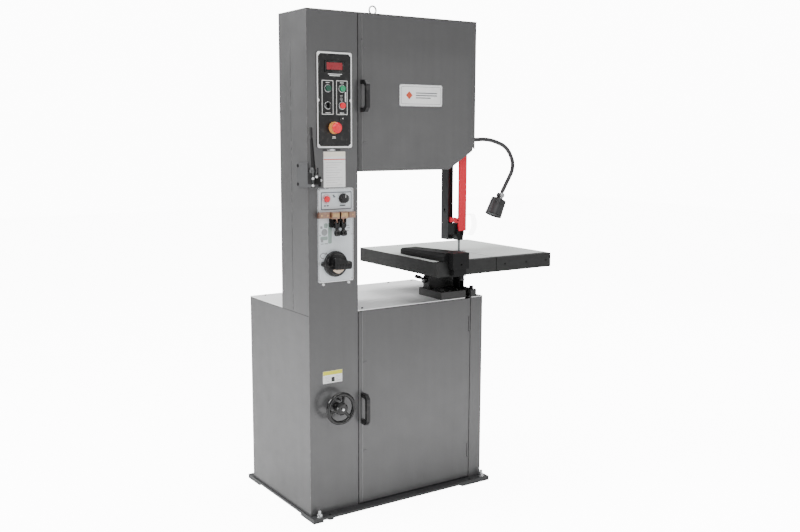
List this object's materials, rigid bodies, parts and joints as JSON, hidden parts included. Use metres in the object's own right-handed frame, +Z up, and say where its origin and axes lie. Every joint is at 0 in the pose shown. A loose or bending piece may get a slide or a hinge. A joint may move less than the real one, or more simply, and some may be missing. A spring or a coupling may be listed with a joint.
{
  "type": "vertical metal-cutting band saw",
  "caption": "Tall sheet-metal band saw with a square column and head, tilting slotted table, rip fence, blade welder and worklight.",
  "frame": {"origin": "on the floor, under the middle of the base cabinet's footprint", "axes": "+X to the right seen from the operator's side, +Y to the back, +Z up"},
  "size_m": [1.1037, 0.78, 2.01],
  "materials": {
    "paint_grey": "satin metallic grey enamel",
    "paint_dark": "satin black enamel",
    "paint_red": "gloss red enamel",
    "ground_iron": "ground top, fine grinding marks",
    "cast_black": "painted casting",
    "steel": "machined steel",
    "zinc": "bright zinc plate",
    "aluminium": "turned aluminium",
    "top_plate": "satin light grey enamel",
    "panel_black": "printed polycarbonate front",
    "panel_blue": "anodised panel with a printed front",
    "display": "dark red window",
    "copper_jaw": "copper and brass jaws",
    "black_plastic": "moulded black",
    "red_plastic": "gloss",
    "green_plastic": "gloss",
    "lens_green": "gloss",
    "clear_plastic": "clear sheet",
    "plate_white": "white lacquered plate",
    "tyre_rubber": "vulcanised tyre",
    "blade_steel": "blued spring steel"
  },
  "bodies": {
    "root": {"base_plate": "paint_dark", "levelling_bolts": "zinc", "base_cabinet": "paint_grey", "base_top": "top_plate", "column_shell": "paint_grey", "head_housing": "paint_grey", "lifting_eye": "zinc", "hinge_pins": "steel", "control_panel": "panel_black", "display_lens": "display", "welder_panel": "panel_blue", "weld_jaws": "copper_jaw", "shear_bracket": "cast_black", "trunnion_base": "cast_black", "trunnion_bolts": "steel", "lower_blade_guard": "paint_dark", "post_bracket": "cast_black", "carriage_guide": "cast_black", "blade_band": "blade_steel", "drive_motor": "paint_dark", "drive_belt": "tyre_rubber", "lower_bearing": "cast_black", "gooseneck": "black_plastic"},
    "head_door": {"head_door": "paint_grey", "head_door_handle": "black_plastic", "nameplate": "plate_white"},
    "base_door": {"base_door": "paint_grey", "base_door_handle": "black_plastic"},
    "tension_carriage": {"tension_carriage": "steel"},
    "tension_screw": {"tension_screw": "steel"},
    "upper_wheel": {"upper_wheel": "aluminium", "upper_tyre": "tyre_rubber"},
    "lower_drive": {"lower_wheel": "aluminium", "lower_tyre": "tyre_rubber", "lower_shaft": "steel", "driven_pulley": "steel"},
    "motor_rotor": {"motor_pulley": "steel"},
    "guide_post": {"guide_post": "paint_dark", "upper_guide": "cast_black", "blade_guard": "paint_red", "chip_shield": "clear_plastic"},
    "table": {"table_casting": "ground_iron", "table_rail": "cast_black", "table_insert": "aluminium", "tilt_rocker": "cast_black"},
    "tilt_lock": {"tilt_lock_lever": "black_plastic"},
    "fence": {"fence_body": "cast_black"},
    "speed_handwheel": {"speed_handwheel": "black_plastic"},
    "shear_lever": {"shear_lever": "paint_dark"},
    "power_button": {"power_button": "green_plastic"},
    "start_button": {"start_button": "lens_green"},
    "stop_button": {"stop_button": "red_plastic"},
    "selector_switch": {"selector_switch": "black_plastic"},
    "estop_button": {"estop_button": "red_plastic"},
    "weld_button": {"weld_button": "red_plastic"},
    "weld_knob": {"weld_knob": "black_plastic"},
    "clamp_lever_left": {"clamp_lever_left": "black_plastic"},
    "clamp_lever_right": {"clamp_lever_right": "black_plastic"},
    "rotary_switch": {"rotary_switch": "black_plastic"},
    "lamp_head": {"lamp_head": "paint_dark"}
  },
  "joints": [
    {"name": "head_door_hinge", "type": "hinge", "parent": "root", "child": "head_door", "pos_m": [0.3665, -0.2595, 1.708], "axis": [0, 0, 1], "range_deg": [0, 120]},
    {"name": "base_door_hinge", "type": "hinge", "parent": "root", "child": "base_door", "pos_m": [0.355, -0.2595, 0.418], "axis": [0, 0, 1], "range_deg": [0, 95]},
    {"name": "blade_tension", "type": "slide", "parent": "root", "child": "tension_carriage", "axis": [0, 0, 1], "range_m": [-0.015, 0]},
    {"name": "tension_screw_turn", "type": "hinge", "parent": "root", "child": "tension_screw", "pos_m": [0.0665, -0.0775, 1.858], "axis": [0, 0, 1], "range_deg": [0, 1350]},
    {"name": "upper_wheel_spin", "type": "hinge", "parent": "tension_carriage", "child": "upper_wheel", "pos_m": [0.0665, -0.1935, 1.667], "axis": [0, 1, 0], "continuous": true},
    {"name": "lower_wheel_spin", "type": "hinge", "parent": "root", "child": "lower_drive", "pos_m": [0.0665, -0.0935, 0.423], "axis": [0, 1, 0], "continuous": true},
    {"name": "motor_spin", "type": "hinge", "parent": "root", "child": "motor_rotor", "pos_m": [-0.233, 0.0365, 0.183], "axis": [0, 1, 0], "continuous": true},
    {"name": "guide_post_slide", "type": "slide", "parent": "root", "child": "guide_post", "axis": [0, 0, 1], "range_m": [-0.02, 0.27]},
    {"name": "table_tilt", "type": "hinge", "parent": "root", "child": "table", "pos_m": [0.3465, -0.1245, 1.014], "axis": [0, 1, 0], "range_deg": [-15, 15]},
    {"name": "tilt_lock", "type": "hinge", "parent": "root", "child": "tilt_lock", "pos_m": [0.223, -0.1245, 0.89], "axis": [1, 0, 0], "range_deg": [-60, 60]},
    {"name": "fence_slide", "type": "slide", "parent": "table", "child": "fence", "axis": [1, 0, 0], "range_m": [-0.028, 0.14]},
    {"name": "speed_handwheel_turn", "type": "hinge", "parent": "root", "child": "speed_handwheel", "pos_m": [-0.313, -0.3135, 0.452], "axis": [0, 1, 0], "continuous": true},
    {"name": "shear_lever_swing", "type": "hinge", "parent": "root", "child": "shear_lever", "pos_m": [-0.42, -0.3035, 1.376], "axis": [1, 0, 0], "range_deg": [0, 80]},
    {"name": "power_button_push", "type": "slide", "parent": "root", "child": "power_button", "axis": [0, 1, 0], "range_m": [0, 0.003], "stiffness_N_per_m": 400},
    {"name": "start_button_push", "type": "slide", "parent": "root", "child": "start_button", "axis": [0, 1, 0], "range_m": [0, 0.003], "stiffness_N_per_m": 400},
    {"name": "stop_button_push", "type": "slide", "parent": "root", "child": "stop_button", "axis": [0, 1, 0], "range_m": [0, 0.003], "stiffness_N_per_m": 400},
    {"name": "selector_turn", "type": "hinge", "parent": "root", "child": "selector_switch", "pos_m": [-0.3375, -0.2735, 1.617], "axis": [0, 1, 0], "range_deg": [-45, 45]},
    {"name": "estop_push", "type": "slide", "parent": "root", "child": "estop_button", "axis": [0, 1, 0], "range_m": [0, 0.004], "stiffness_N_per_m": 800},
    {"name": "weld_button_push", "type": "slide", "parent": "root", "child": "weld_button", "axis": [0, 1, 0], "range_m": [0, 0.003], "stiffness_N_per_m": 400},
    {"name": "weld_knob_turn", "type": "hinge", "parent": "root", "child": "weld_knob", "pos_m": [-0.273, -0.2785, 1.267], "axis": [0, 1, 0], "range_deg": [-150, 150]},
    {"name": "clamp_lever_left_swing", "type": "hinge", "parent": "root", "child": "clamp_lever_left", "pos_m": [-0.313, -0.2875, 1.178], "axis": [-1, 0, 0], "range_deg": [0, 85]},
    {"name": "clamp_lever_right_swing", "type": "hinge", "parent": "root", "child": "clamp_lever_right", "pos_m": [-0.285, -0.2875, 1.178], "axis": [-1, 0, 0], "range_deg": [0, 85]},
    {"name": "rotary_switch_turn", "type": "hinge", "parent": "root", "child": "rotary_switch", "pos_m": [-0.311, -0.2735, 1.0165], "axis": [0, 1, 0], "range_deg": [-90, 90]},
    {"name": "lamp_swivel", "type": "hinge", "parent": "root", "child": "lamp_head", "pos_m": [0.597, -0.1635, 1.243], "axis": [0, 1, 0], "range_deg": [-40, 40]}
  ],
  "couplings": [
    {"joint": "upper_wheel_spin", "follows": "lower_wheel_spin", "ratio": 1},
    {"joint": "motor_spin", "follows": "lower_wheel_spin", "ratio": 3.625},
    {"joint": "tension_screw_turn", "follows": "blade_tension", "rad_per_m": -1570.8}
  ]
}
